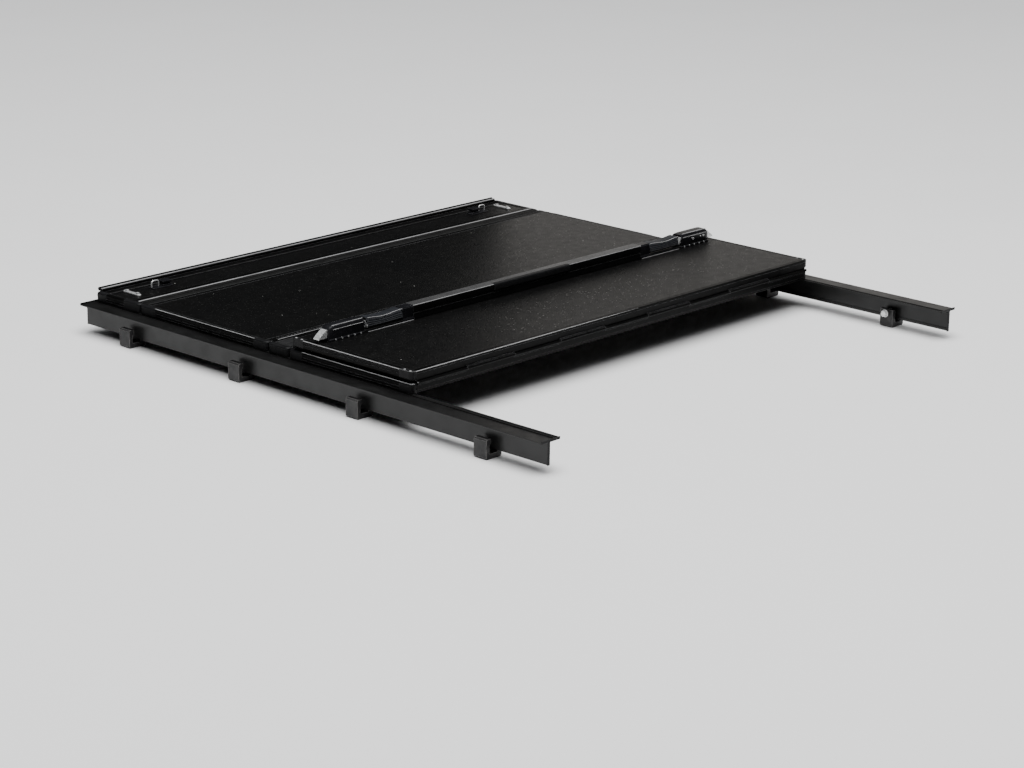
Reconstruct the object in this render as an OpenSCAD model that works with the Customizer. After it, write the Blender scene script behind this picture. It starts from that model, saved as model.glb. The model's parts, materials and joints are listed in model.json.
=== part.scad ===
// Hard tri-fold tonneau cover for a short pickup bed: two clamp-on side rails, a fixed
// front header and three hinged panels. It is drawn with the rear panel folded forward
// onto the middle panel, underside up, so the latch bar stands on top of the stack.
// +Z is up, +Y points at the cab and X runs across the bed. Millimetres.

/* [Cover] */
// Width of the header and the panels
cover_w = 1450; // [1300:10:1600]
// Thickness of every panel
panel_t = 22; // [20:1:24]
// Height of the panel tops above the bottom of the clamps
deck_z = 100; // [98:1:104]
// Width of the side extrusions of each panel
side_w = 14; // [14:1:24]
// Depth of the cross extrusions of each panel
cross_d = 14; // [14:1:24]
// Length of a corner cap along the side of a panel
cap_l = 40; // [30:1:50]
// Radius of the long outer top edges
edge_r = 5; // [3:0.5:5]
// Radius of the outer bottom edges
low_r = 2; // [1:0.5:2.5]
// Radius of the outer corners seen from above
corner_r = 11; // [11:1:14]
// Thickness of the top and bottom skins
skin_t = 1.5; // [1:0.1:2.5]

/* [Lengths] */
// Half the length of the side rails and of the closed cover
half_l = 775; // [760:5:790]
// Depth of the header from its front edge to its rear edge
header_d = 158; // [140:1:170]
// Gap bridged by the hinge between the header and the front panel
front_gap = 37; // [30:1:40]
// Length of the front panel
front_l = 440; // [420:5:445]
// Gap bridged by the folding link between the front and middle panels
link_gap = 84; // [84:1:88]
// Length of the middle panel
middle_l = 401; // [396:1:405]
// Length of the rear panel without its tail seal
rear_l = 396; // [388:1:396]

/* [Hinges] */
// Number of knuckles along each hinge
knuckles = 9; // [5:2:13]
// Radius of the knuckles at the front and link hinges
knuckle_r = 4.5; // [4:0.1:5]
// Radius of the hinge pins
pin_r = 2; // [1.5:0.1:2.2]
// Clear space between the tops of the folded rear and middle panels
fold_gap = 7; // [7:0.5:9]

/* [Side rails] */
// Outer face of each rail's outboard flange, from the centre line
rail_out = 768; // [760:1:780]
// Inner edge of the rail shelf, from the centre line
rail_in = 710; // [708:1:714]
// Outboard face of the rail web, from the centre line
web_x = 747; // [742:1:750]
// Thickness of the rail shelf and web
rail_t = 3; // [2.5:0.5:4]
// Number of clamps on each rail
clamps = 4; // [3:1:5]
// Spacing of the clamps along a rail
clamp_pitch = 400; // [300:10:450]
// Width of a clamp along the rail
clamp_w = 38; // [30:1:50]

/* [Latch] */
// Height of the latch bar below the rear panel
bar_h = 35; // [33:1:35]
// Depth of the latch bar
bar_d = 30; // [26:1:34]
// Distance from the rear edge of the panel to the middle of the bar
bar_back = 76; // [70:1:90]
// Outer end of the latch housings, from the centre line
housing_out = 690; // [686:1:696]
// Inner end of the latch housings, from the centre line
housing_in = 578; // [570:1:590]
// Outer end of the release paddles, from the centre line
paddle_out = 566; // [556:1:568]
// Inner end of the release paddles, from the centre line
paddle_in = 452; // [440:1:460]
// Tip of the latch bolts, from the centre line
bolt_tip = 716; // [713:1:718]

/* [Prop rods] */
// Length of a prop rod from its pivot to its tip
prop_l = 300; // [290:1:305]
// Distance of the prop rods from the centre line
prop_x = 688; // [680:1:690]
// Radius of the prop rods
prop_r = 4; // [3:0.5:4.5]
// Outer end of the bent foot of each prop rod, from the centre line
foot_x = 708; // [706:0.5:708]

/* [Hidden] */
$fn = 48;

black = "#17181a";
satin = "#26282b";
grey = "#5a5e63";
rubber = "#101112";
zinc = "#b9bcbf";
gloss = "#0d0e10";
slate = "#49525c";

// Heights
floor_z = deck_z - panel_t;             // underside of the panels
shelf_z = floor_z - 4;                  // top of the rail shelf
flange_z = shelf_z - rail_t;            // underside of the rail flanges
web_low = 20;                           // bottom of the rail web
bolt_z = 36;                            // axis of the clamp bolts
half_w = cover_w / 2;
inner_w = half_w - side_w;              // half width between the side extrusions

// Stations along the bed, from the cab backwards
header_y = half_l - header_d;
front_axis_y = header_y - front_gap / 2;
front_axis_z = deck_z - 3;
front_y0 = header_y - front_gap;
front_y1 = front_y0 - front_l;
link_axis_z = deck_z - 2;
link_axis_a = front_y1 - 6;
link_axis_b = front_y1 - link_gap + 6;
middle_y0 = front_y1 - link_gap;
middle_y1 = middle_y0 - middle_l;
rear_axis_y = middle_y1 - 5;
rear_axis_z = deck_z + fold_gap / 2;
rear_knuckle_r = fold_gap / 2;
rear_y0 = rear_axis_y - 5;
rear_y1 = rear_y0 - rear_l;
bar_y = rear_y1 + bar_back;             // middle of the latch bar, panel unfolded
bar_z = floor_z - bar_h;                // bottom of the latch bar, panel unfolded

cap_gap = 0.35;                         // from a hinge axis to the caps on each side

// Prop rods
prop_pivot_y = front_y0 - 130;
prop_z = floor_z - 7;

// Paddle pivot, panel unfolded
paddle_axis_y = bar_y + bar_d / 2 - 4;
paddle_axis_z = floor_z - 14;

// Places a shape on both sides of the bed.
module both() { children(); mirror([1, 0, 0]) children(); }

// Carries a shape drawn in the closed cover's position to the folded rear panel.
module folded() {
    translate([0, rear_axis_y, rear_axis_z]) rotate([180, 0, 0])
        translate([0, -rear_axis_y, -rear_axis_z]) children();
}

// A box between two corners.
module span(a, b) { translate(a) cube(b - a); }

// A flat shape in the X-Z plane, extruded from y0 back to y1.
module along(y0, y1) {
    translate([0, y0, 0]) rotate([90, 0, 0]) linear_extrude(height = y0 - y1) children();
}

// A flat shape in the Y-Z plane, extruded from x0 to x1.
module across(x0, x1) {
    translate([x0, 0, 0]) rotate([90, 0, 90]) linear_extrude(height = x1 - x0) children();
}

// A straight round bar across the bed.
module rod_x(x0, x1, y, z, r, sides = 48) {
    translate([x0, y, z]) rotate([0, 90, 0]) cylinder(r = r, h = x1 - x0, $fn = sides);
}

// ---------------------------------------------------------------- side rails
module rail_outline() {
    polygon([[rail_in, flange_z], [web_x - rail_t, flange_z],
        [web_x - rail_t, web_low + 6], [web_x - 5, web_low + 6], [web_x - 5, web_low],
        [web_x, web_low], [web_x, flange_z], [rail_out, flange_z],
        [rail_out, shelf_z - 0.5], [rail_out - 0.5, shelf_z],
        [rail_in + 15, shelf_z], [rail_in + 15, shelf_z + 2], [rail_in + 13.4, shelf_z + 2],
        [rail_in + 13.4, shelf_z], [rail_in + 1.6, shelf_z], [rail_in + 1.6, shelf_z + 2],
        [rail_in, shelf_z + 2]]);
    // Rib high up the web
    translate([web_x - rail_t, flange_z - 5]) circle(r = 1.5);
}

module rail() { along(half_l - 2, -half_l + 2) rail_outline(); }

module left_rail() color(satin) mirror([1, 0, 0]) rail();
module right_rail() color(satin) rail();

// Bulb seals in the rail channels, from the header back to the tail.
module rail_seals() color(rubber) both() along(header_y + 10, -half_l + 4)
    intersection() {
        translate([rail_in + 7.5, shelf_z - 3.4]) circle(r = 7);
        translate([rail_in + 1.9, shelf_z]) square([11.2, 6]);
    }

module rail_end_caps() color(black) both()
    for (s = [1, -1]) translate([0, s * (half_l - 1), 0]) along(1, -1) {
        translate([rail_in - 1, flange_z]) square([rail_out - rail_in + 1, rail_t + 3]);
        translate([web_x - 6.5, web_low - 1]) square([6.5, flange_z - web_low + 2]);
    }

function clamp_y(i) = (i - (clamps - 1) / 2) * clamp_pitch;

// C-shaped clamp that hooks under the bed lip, with a set bolt through its inner arm.
module clamp_bodies() color(black) both() for (i = [0 : clamps - 1])
    translate([0, clamp_y(i), 0]) difference() {
        along(clamp_w / 2, -clamp_w / 2) difference() {
            polygon([[web_x - 23, 3], [web_x - 20, 0], [web_x + 22, 0],
                [web_x + 25, 3], [web_x + 25, 42], [web_x + 22, 46],
                [web_x + 11, 46], [web_x + 11, 36], [web_x + 15, 33],
                [web_x + 15, 12], [web_x - 11, 12], [web_x - 11, 42],
                [web_x - 14, 46], [web_x - 23, 46]]);
            // Teeth on the jaw that bites the lip
            for (k = [0 : 2]) translate([web_x + 11, 38 + 3 * k]) rotate(45)
                square(1.2, center = true);
        }
        rod_x(web_x - 30, web_x - 5, 0, bolt_z, 5.06);
    }

module clamp_bolts() color(zinc) both() for (i = [0 : clamps - 1])
    translate([0, clamp_y(i), 0]) {
        rod_x(web_x - 31, web_x - 6.9, 0, bolt_z, 5);
        rod_x(web_x - 38, web_x - 31, 0, bolt_z, 8.6, 6);
        rod_x(web_x - 31, web_x - 29.4, 0, bolt_z, 10);
        rod_x(web_x - 7, web_x - rail_t, 0, bolt_z, 9);
    }

// ---------------------------------------------------------------- corners and panels
// Solid corner with a round plan corner and a rolled top edge, outer corner at (0, 0),
// reaching w inwards along X and l backwards along Y.
module corner(w, l, h) {
    big = corner_r;
    tube = edge_r;
    module plan(inset, r) {
        difference() {
            translate([-w, -l]) square([w - inset, l - inset]);
            translate([-inset - r, -inset - r]) square(r + 1);
        }
        intersection() {
            translate([-inset - r, -inset - r]) circle(r = r);
            translate([-inset - r, -inset - r]) square(r + 1);
        }
    }
    linear_extrude(height = h - tube) plan(0, big);
    linear_extrude(height = h) plan(tube, big - tube);
    translate([-tube, -l, h - tube]) rotate([-90, 0, 0]) cylinder(r = tube, h = l - big);
    translate([-w, -tube, h - tube]) rotate([0, 90, 0]) cylinder(r = tube, h = w - big);
    translate([-big, -big, h - tube]) rotate_extrude(angle = 90)
        translate([big - tube, 0]) circle(r = tube);
}

// The four corner caps of a panel. The leading pair reaches from y0 back to the side
// frame, the trailing pair from y1 forward to it.
module panel_caps(y0, side_y0, y1, side_y1) color(black) both() {
    translate([half_w, y0, floor_z]) corner(side_w, y0 - side_y0, panel_t);
    translate([half_w, y1, floor_z]) mirror([0, 1, 0])
        corner(side_w, side_y1 - y1, panel_t);
}

// Side extrusion outline: rolled outer top edge and a small groove beside the skin.
module side_outline() {
    difference() {
        union() {
            translate([inner_w, floor_z]) square([side_w - edge_r, panel_t]);
            translate([inner_w, floor_z]) square([side_w - low_r, edge_r]);
            translate([inner_w, floor_z + low_r])
                square([side_w, panel_t - edge_r - low_r]);
            translate([half_w - edge_r, deck_z - edge_r]) circle(r = edge_r);
            translate([half_w - low_r, floor_z + low_r]) circle(r = low_r);
        }
        // Groove beside the skin, hollow core and two drip grooves on the outer face
        translate([inner_w + 2, deck_z - 0.6]) square([1.2, 2]);
        translate([inner_w + 2, floor_z + 3]) square([side_w - 7, panel_t - 10]);
        for (z = [4, 10]) translate([half_w - 1, floor_z + z]) square([2, 1.4]);
    }
}

module side_frames(y0, y1) color(satin) both()
    along(y0 - cap_l, y1 + cap_l) side_outline();

module skin(y0, y1, z) color(black)
    span([-inner_w, y1 + cross_d, z], [inner_w, y0 - cross_d, z + skin_t]);

module core(y0, y1) color(slate)
    span([-inner_w, y1 + cross_d, floor_z + skin_t],
        [inner_w, y0 - cross_d, deck_z - skin_t]);

// Outline of a cross extrusion in the Y-Z plane, its outer face at zero.
module cross_outline() difference() {
    union() {
        translate([-cross_d, floor_z]) square([cross_d - low_r, panel_t]);
        translate([-cross_d, floor_z + low_r]) square([cross_d, panel_t - low_r]);
        translate([-low_r, floor_z + low_r]) circle(r = low_r);
    }
    translate([3 - cross_d, floor_z + 3]) square([cross_d - 6, panel_t - 10]);
    translate([2 - cross_d, deck_z - 0.6]) square([1.2, 2]);
}

// Cross extrusion between the corner caps; its outer face is at y, facing dir.
module cross_bar(y, dir) across(-inner_w, inner_w) translate([y, 0])
    mirror([dir > 0 ? 0 : 1, 0]) cross_outline();

// ---------------------------------------------------------------- hinges
hinge_w = 2 * inner_w;
seg = hinge_w / knuckles;

// Knuckles of one leaf: phase 0 takes the odd ones, phase 1 the even ones.
// The web joins each knuckle to its leaf between y_in and the axis.
module leaf_knuckles(phase, y, z, r, web_y, web_z0, web_z1, bore) {
    for (i = [phase : 2 : knuckles - 1]) {
        x0 = -hinge_w / 2 + i * seg + 0.25;
        x1 = x0 + seg - 0.5;
        difference() {
            union() {
                rod_x(x0, x1, y, z, r);
                span([x0, min(y, web_y), web_z0], [x1, max(y, web_y), web_z1]);
            }
            rod_x(x0 - 1, x1 + 1, y, z, bore);
        }
    }
}

module hinge_pin(y, z, r) rod_x(0.3 - hinge_w / 2, hinge_w / 2 - 0.3, y, z, r);

// ---------------------------------------------------------------- header
module header_front_bar() color(satin) across(-inner_w, inner_w) difference() {
    union() {
        translate([half_l - 50, floor_z]) square([42, panel_t - 2]);
        translate([half_l - 18, floor_z]) square([10, panel_t + 1]);
        translate([half_l - 13, deck_z + 1]) circle(r = 5);
        translate([half_l - 50, deck_z - 3]) square([4, 3]);
    }
    translate([half_l - 44, floor_z + 4]) square([22, panel_t - 10]);
}

module header_rear_bar() color(satin) {
    across(-inner_w, inner_w) difference() {
        translate([header_y, floor_z]) square([24, panel_t]);
        translate([header_y + 7, floor_z + 4]) square([10, panel_t - 10]);
    }
    // Hinge leaf
    span([-inner_w, front_axis_y + knuckle_r + 0.4, deck_z - 4],
        [inner_w, header_y + 0.01, deck_z - 1]);
    leaf_knuckles(0, front_axis_y, front_axis_z, knuckle_r, front_axis_y + 6,
        deck_z - 4, deck_z - 1, pin_r + 0.05);
}

module header_side_bars() color(satin) both()
    along(half_l - 8 - cap_l, header_y + cap_l) side_outline();

module header_infill() color(black)
    span([-inner_w, header_y + 24, floor_z + 2], [inner_w, half_l - 50, deck_z - 1.5]);

module header_corner_caps() panel_caps(half_l - 8, half_l - 8 - cap_l,
    front_axis_y + cap_gap, header_y + cap_l);

// Bulb seal that meets the bulkhead.
module header_seal() color(rubber) across(-half_w + corner_r, half_w - corner_r)
    difference() {
        union() {
            translate([half_l - 8, floor_z + 3]) square([2, 14]);
            translate([half_l - 5, floor_z + 10]) circle(r = 5);
        }
        translate([half_l - 5, floor_z + 10]) circle(r = 3.2);
        translate([half_l - 20, floor_z]) square([12, 30]);
    }

// Packing strips that carry the header in the rail channels, each with two bolt holes.
module header_blocks() color(black) both() difference() {
    span([rail_in + 2, header_y + 16, shelf_z], [rail_in + 13, half_l - 12, floor_z]);
    for (y = [header_y + 40, half_l - 40])
        translate([rail_in + 7.5, y, shelf_z - 1]) cylinder(r = 2, h = 8);
}

hold_x = 670;
hold_y = half_l - 84;
module hold_down_bars() color(zinc) both() difference() {
    union() {
        span([hold_x - 6, hold_y - 26, deck_z - 1.5], [hold_x + 6, hold_y + 26, deck_z + 3]);
        for (s = [-1, 1]) translate([hold_x, hold_y + s * 26, deck_z - 1.5])
            cylinder(r = 6, h = 4.5);
    }
    for (s = [-1, 1]) translate([hold_x, hold_y + s * 20, deck_z - 3])
        cylinder(r = 2.6, h = 10);
}

module header_screws() color(zinc) both() for (s = [-1, 1])
    translate([hold_x, hold_y + s * 20, 0]) difference() {
        union() {
            translate([0, 0, deck_z - 1.5]) cylinder(r = 2.5, h = 5);
            translate([0, 0, deck_z + 3]) cylinder(r = 4.5, h = 2.6);
        }
        translate([0, 0, deck_z + 4.2]) cylinder(r = 2, h = 3, $fn = 6);
    }

// Strap anchors on the header: a buckle box and a wire loop on one base plate.
anchor_x = 575;
anchor_y = half_l - 78;
module anchor_boxes() color(gloss) both() translate([anchor_x, anchor_y, deck_z - 1.5]) {
    span([-32, -13, 0], [32, 13, 2.5]);
    translate([-14, 0, 2.5]) difference() {
        linear_extrude(height = 13) polygon([[-14, -9], [-11, -11], [11, -11], [14, -9],
            [14, 9], [11, 11], [-11, 11], [-14, 9]]);
        translate([-9, -20, 4]) cube([18, 40, 4]);
    }
}

module anchor_loops() color(zinc) both() translate([anchor_x, anchor_y, deck_z + 1]) {
    for (x = [6, 28]) translate([x, 0, 0]) cylinder(r = 2, h = 16);
    translate([6, 0, 16]) rotate([0, 90, 0]) cylinder(r = 2, h = 22);
    for (x = [6, 28]) translate([x, 0, 16]) sphere(r = 2);
}

// Brackets on the rails with an open slot for the foot of each raised prop rod. The pivot
// is where the rod turns once the front panel stands upright.
raised_y = front_axis_y + prop_z - front_axis_z;
raised_z = front_axis_z + front_axis_y - prop_pivot_y;
seat_z = 58;
seat_y = raised_y - sqrt(pow(prop_l, 2) - pow(raised_z - seat_z, 2));
seat_x = foot_x - 8;
module prop_seats() color(zinc) both() difference() {
    span([seat_x, seat_y - 17, 40], [web_x - rail_t, seat_y + 17, seat_z + 5]);
    // Slot, and a pocket that leaves a bracket of even thickness
    span([seat_x - 1, seat_y - prop_r - 0.6, seat_z - prop_r - 0.6],
        [foot_x + 4, seat_y + prop_r + 0.6, seat_z + 10]);
    span([seat_x + 6, seat_y - 20, 30], [web_x - 8, seat_y + 20, seat_z - prop_r - 6]);
}

module front_hinge_pin() color(zinc) hinge_pin(front_axis_y, front_axis_z, pin_r);

// ---------------------------------------------------------------- front panel
module front_top_skin() skin(front_y0, front_y1, deck_z - skin_t);
module front_core() core(front_y0, front_y1);
module front_bottom_skin() skin(front_y0, front_y1, floor_z);
module front_side_frames() side_frames(front_y0, front_y1);
module front_corner_caps() panel_caps(front_axis_y - cap_gap, front_y0 - cap_l,
    link_axis_a + cap_gap, front_y1 + cap_l);

module front_lead_frame() color(satin) {
    cross_bar(front_y0, 1);
    span([-inner_w, front_y0 - 0.01, deck_z - 4],
        [inner_w, front_axis_y - knuckle_r - 0.4, deck_z - 1]);
    leaf_knuckles(1, front_axis_y, front_axis_z, knuckle_r, front_axis_y - 6,
        deck_z - 4, deck_z - 1, pin_r + 0.05);
}

module front_trail_frame() color(satin) {
    cross_bar(front_y1, -1);
    leaf_knuckles(0, link_axis_a, link_axis_z, knuckle_r, front_y1 + 1,
        deck_z - 5, deck_z - 2, pin_r + 0.05);
}

// Pivot brackets of the prop rods under the front panel, each with its cross pin.
module prop_pivots() color(zinc) both() {
    for (x = [[prop_x - 9, prop_x - 4.4], [prop_x + 4.4, prop_x + 9]]) {
        span([x[0], prop_pivot_y - 7, prop_z], [x[1], prop_pivot_y + 7, floor_z]);
        rod_x(x[0], x[1], prop_pivot_y, prop_z, 7);
    }
    rod_x(prop_x - 10.5, prop_x + 10.5, prop_pivot_y, prop_z, 2.5);
}

module prop_clips() color(black) both() difference() {
    span([prop_x - 7, prop_pivot_y - prop_l + 22, prop_z - 5],
        [prop_x + 7, prop_pivot_y - prop_l + 36, floor_z]);
    span([prop_x - prop_r - 0.4, prop_pivot_y - prop_l + 10, prop_z - 9],
        [prop_x + prop_r + 0.4, prop_pivot_y - prop_l + 50, prop_z + prop_r + 0.4]);
}

// Round rod with a flat eye at its pivot and a foot bent outwards at its tip.
module prop_rod() color(zinc) difference() {
    union() {
        rod_x(prop_x - 3, prop_x + 3, prop_pivot_y, prop_z, 6.5);
        translate([prop_x, prop_pivot_y - 4, prop_z]) rotate([90, 0, 0])
            cylinder(r = prop_r, h = prop_l - 4);
        translate([prop_x, prop_pivot_y - prop_l, prop_z]) sphere(r = prop_r);
        rod_x(prop_x, foot_x, prop_pivot_y - prop_l, prop_z, prop_r);
    }
    rod_x(prop_x - 10, prop_x + 10, prop_pivot_y, prop_z, 2.55);
}
module prop_rod_left() mirror([1, 0, 0]) prop_rod();
module prop_rod_right() prop_rod();

// ---------------------------------------------------------------- folding link
module fold_link() color(grey) {
    span([-inner_w, link_axis_b + knuckle_r + 0.4, deck_z - 5],
        [inner_w, link_axis_a - knuckle_r - 0.4, deck_z - 2]);
    // Low ribs along the strip
    for (y = [link_axis_b + 14, (link_axis_a + link_axis_b) / 2, link_axis_a - 14])
        span([-inner_w, y - 1.5, deck_z - 2.01], [inner_w, y + 1.5, deck_z - 1]);
    leaf_knuckles(1, link_axis_a, link_axis_z, knuckle_r, link_axis_a - 6,
        deck_z - 5, deck_z - 2, pin_r + 0.05);
    leaf_knuckles(1, link_axis_b, link_axis_z, knuckle_r, link_axis_b + 6,
        deck_z - 5, deck_z - 2, pin_r + 0.05);
}

// Blocks that close the ends of the link strip.
module link_end_caps() color(black) both() {
    half = (link_axis_a - link_axis_b) / 2 - cap_gap;
    middle = (link_axis_a + link_axis_b) / 2;
    for (m = [0, 1]) translate([half_w, middle, floor_z]) mirror([0, m, 0])
        translate([0, half, 0]) corner(side_w, half, panel_t);
}

module link_pins() color(zinc) for (y = [link_axis_a, link_axis_b])
    hinge_pin(y, link_axis_z, pin_r);

// ---------------------------------------------------------------- middle panel
module middle_top_skin() skin(middle_y0, middle_y1, deck_z - skin_t);
module middle_core() core(middle_y0, middle_y1);
module middle_bottom_skin() skin(middle_y0, middle_y1, floor_z);
module middle_side_frames() side_frames(middle_y0, middle_y1);
module middle_corner_caps() panel_caps(link_axis_b - cap_gap, middle_y0 - cap_l,
    middle_y1, middle_y1 + cap_l);

module middle_lead_frame() color(satin) {
    cross_bar(middle_y0, 1);
    leaf_knuckles(0, link_axis_b, link_axis_z, knuckle_r, middle_y0 - 1,
        deck_z - 5, deck_z - 2, pin_r + 0.05);
}

rear_pin_r = 1.4;
module middle_trail_frame() color(satin) {
    cross_bar(middle_y1, -1);
    span([-inner_w, middle_y1 - 1.2, deck_z - 16], [inner_w, middle_y1 + 0.01, deck_z + 2]);
    leaf_knuckles(0, rear_axis_y, rear_axis_z, rear_knuckle_r, middle_y1 + 0.01,
        deck_z - 3, rear_axis_z, rear_pin_r + 0.05);
}

module fold_bumpers() color(rubber) both() for (y = [middle_y0 - 70, middle_y1 + 70])
    translate([inner_w - 60, y, deck_z]) {
        cylinder(r = 11, h = 2);
        cylinder(r = 8, h = fold_gap - 0.6);
    }

module rear_hinge_pin() color(zinc) hinge_pin(rear_axis_y, rear_axis_z, rear_pin_r);

// ---------------------------------------------------------------- rear panel
module rear_top_skin() folded() skin(rear_y0, rear_y1, deck_z - skin_t);
module rear_core() folded() core(rear_y0, rear_y1);
module rear_bottom_skin() folded() skin(rear_y0, rear_y1, floor_z);
module rear_side_frames() folded() side_frames(rear_y0, rear_y1);
module rear_corner_caps() folded()
    panel_caps(rear_y0, rear_y0 - cap_l, rear_y1, rear_y1 + cap_l);

module rear_lead_frame() color(satin) folded() {
    cross_bar(rear_y0, 1);
    span([-inner_w, rear_y0 - 0.01, deck_z - 16], [inner_w, rear_y0 + 1.2, deck_z + 2]);
    leaf_knuckles(1, rear_axis_y, rear_axis_z, rear_knuckle_r, rear_y0 - 0.01,
        deck_z - 3, rear_axis_z, rear_pin_r + 0.05);
}

module rear_trail_frame() color(satin) folded() cross_bar(rear_y1, -1);

// Flange and half-round bulb that meet the tailgate.
module tail_seal() color(rubber) folded() across(-inner_w, inner_w) {
    translate([rear_y1 - 1.6, floor_z + 3]) square([1.6, 15]);
    intersection() {
        translate([rear_y1, floor_z + 10.5]) circle(r = 4.6);
        translate([rear_y1 - 6, floor_z + 4]) square([5, 14]);
    }
}

// ---------------------------------------------------------------- latch bar
// Outline of the bar in the Y-Z plane, hanging under the panel.
module bar_outline(inset = 0) {
    d = bar_d / 2 - inset;
    z0 = bar_z + inset;
    z1 = floor_z - inset;
    polygon([[bar_y - d - 2, z1], [bar_y + d + 2, z1], [bar_y + d + 2, z1 - 5],
        [bar_y + d, z1 - 8], [bar_y + d - 1.5, z0 + 3], [bar_y + d - 4.5, z0],
        [bar_y - d + 4.5, z0], [bar_y - d + 1.5, z0 + 3], [bar_y - d, z1 - 8],
        [bar_y - d - 2, z1 - 5]]);
}

module latch_bar() color(satin) folded() across(-paddle_in + 37, paddle_in - 37)
    difference() { bar_outline(); bar_outline(3); }

module bar_end_blocks() color(gloss) both() folded() difference() {
    across(paddle_in - 37, paddle_in - 2) bar_outline();
    rod_x(paddle_in - 12, paddle_in, paddle_axis_y, paddle_axis_z, 2.5);
}

// Housing of one side: hollow for the bolt, open at both ends, with a rounded crown.
module latch_housing() color(gloss) folded() difference() {
    union() {
        across(housing_in, housing_out - 12) bar_outline();
        across(housing_out - 12, housing_out) intersection() {
            bar_outline();
            translate([bar_y - 30, bar_z + 3]) square([60, bar_h]);
        }
        // Crown step along the lower face
        across(housing_in + 8, housing_out - 20) translate([bar_y - 9, bar_z - 1.5])
            square([18, 2]);
    }
    span([housing_in - 1, bar_y - 9.6, flange_z - 21.6],
        [housing_out + 1, bar_y + 9.6, flange_z - 0.2]);
    rod_x(housing_in - 1, housing_in + 10, paddle_axis_y, paddle_axis_z, 2.5);
}
module latch_housing_left() mirror([1, 0, 0]) latch_housing();
module latch_housing_right() latch_housing();

// Row of screws along the foot of each housing, on the side of the paddle pivot.
module latch_screws() color(zinc) both() folded() for (i = [0 : 4])
    translate([housing_in + 12 + i * 20, bar_y + bar_d / 2 + 2, floor_z - 2.8])
        rotate([-90, 0, 0]) difference() {
            cylinder(r = 2.2, h = 1.6);
            translate([0, 0, 0.9]) cylinder(r = 1, h = 2, $fn = 6);
        }

module paddle_pins() color(zinc) both() folded()
    rod_x(paddle_in - 12, housing_in + 10, paddle_axis_y, paddle_axis_z, 2.45);

// Ribbed release paddle on a cross pivot at its front edge.
module paddle() color(slate) folded() difference() {
    union() {
        rod_x(paddle_in, paddle_out, paddle_axis_y, paddle_axis_z, 5.5);
        span([paddle_in, bar_y - bar_d / 2 - 3, bar_z + 3],
            [paddle_out, paddle_axis_y + 4, bar_z + 8]);
        for (x = [paddle_in, (paddle_in + paddle_out) / 2 - 3, paddle_out - 6])
            span([x, paddle_axis_y - 5.5, bar_z + 5],
                [x + 6, paddle_axis_y + 4, paddle_axis_z]);
        // Grip ribs
        for (i = [0 : 8]) span([paddle_in + 5 + i * 12.4, bar_y - bar_d / 2 - 1, bar_z + 0.6],
            [paddle_in + 10 + i * 12.4, paddle_axis_y, bar_z + 4]);
        // Turned-up lip at the free edge
        span([paddle_in, bar_y - bar_d / 2 - 3, bar_z + 3],
            [paddle_out, bar_y - bar_d / 2, bar_z + 16]);
    }
    rod_x(paddle_in - 1, paddle_out + 1, paddle_axis_y, paddle_axis_z, 2.5);
}
module paddle_left() mirror([1, 0, 0]) paddle();
module paddle_right() paddle();

// Spring latch bolt with a slanted nose and a narrow tail that runs back to the mouth of
// the housing.
module latch_bolt() color(zinc) folded() {
    top = flange_z - 0.8;
    along(bar_y + 9, bar_y - 9) polygon([[housing_out - 40, top - 20],
        [housing_out + 3, top - 20], [bolt_tip - 4, top - 6], [bolt_tip, top - 2],
        [bolt_tip, top], [housing_out - 40, top]]);
    span([housing_in + 2, bar_y - 4, top - 10], [housing_out - 39, bar_y + 4, top - 6]);
}
module latch_bolt_left() mirror([1, 0, 0]) latch_bolt();
module latch_bolt_right() latch_bolt();

left_rail();
right_rail();
rail_seals();
rail_end_caps();
clamp_bodies();
clamp_bolts();
header_front_bar();
header_rear_bar();
header_side_bars();
header_infill();
header_corner_caps();
header_seal();
header_blocks();
hold_down_bars();
header_screws();
anchor_boxes();
anchor_loops();
prop_seats();
front_hinge_pin();
front_top_skin();
front_core();
front_bottom_skin();
front_side_frames();
front_lead_frame();
front_trail_frame();
front_corner_caps();
prop_pivots();
prop_clips();
prop_rod_left();
prop_rod_right();
fold_link();
link_end_caps();
link_pins();
middle_top_skin();
middle_core();
middle_bottom_skin();
middle_side_frames();
middle_lead_frame();
middle_trail_frame();
middle_corner_caps();
fold_bumpers();
rear_hinge_pin();
rear_top_skin();
rear_core();
rear_bottom_skin();
rear_side_frames();
rear_lead_frame();
rear_trail_frame();
rear_corner_caps();
tail_seal();
latch_bar();
bar_end_blocks();
latch_housing_left();
latch_housing_right();
latch_screws();
paddle_pins();
paddle_left();
paddle_right();
latch_bolt_left();
latch_bolt_right();
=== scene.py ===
"""Folding tonneau cover: materials, fine detail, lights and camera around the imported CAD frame.

Everything is in metres in the CAD frame: +Z up, +Y towards the cab, X across the bed.
"""

import json
import math

import bmesh
import bpy
from mathutils import Matrix, Vector


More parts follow.
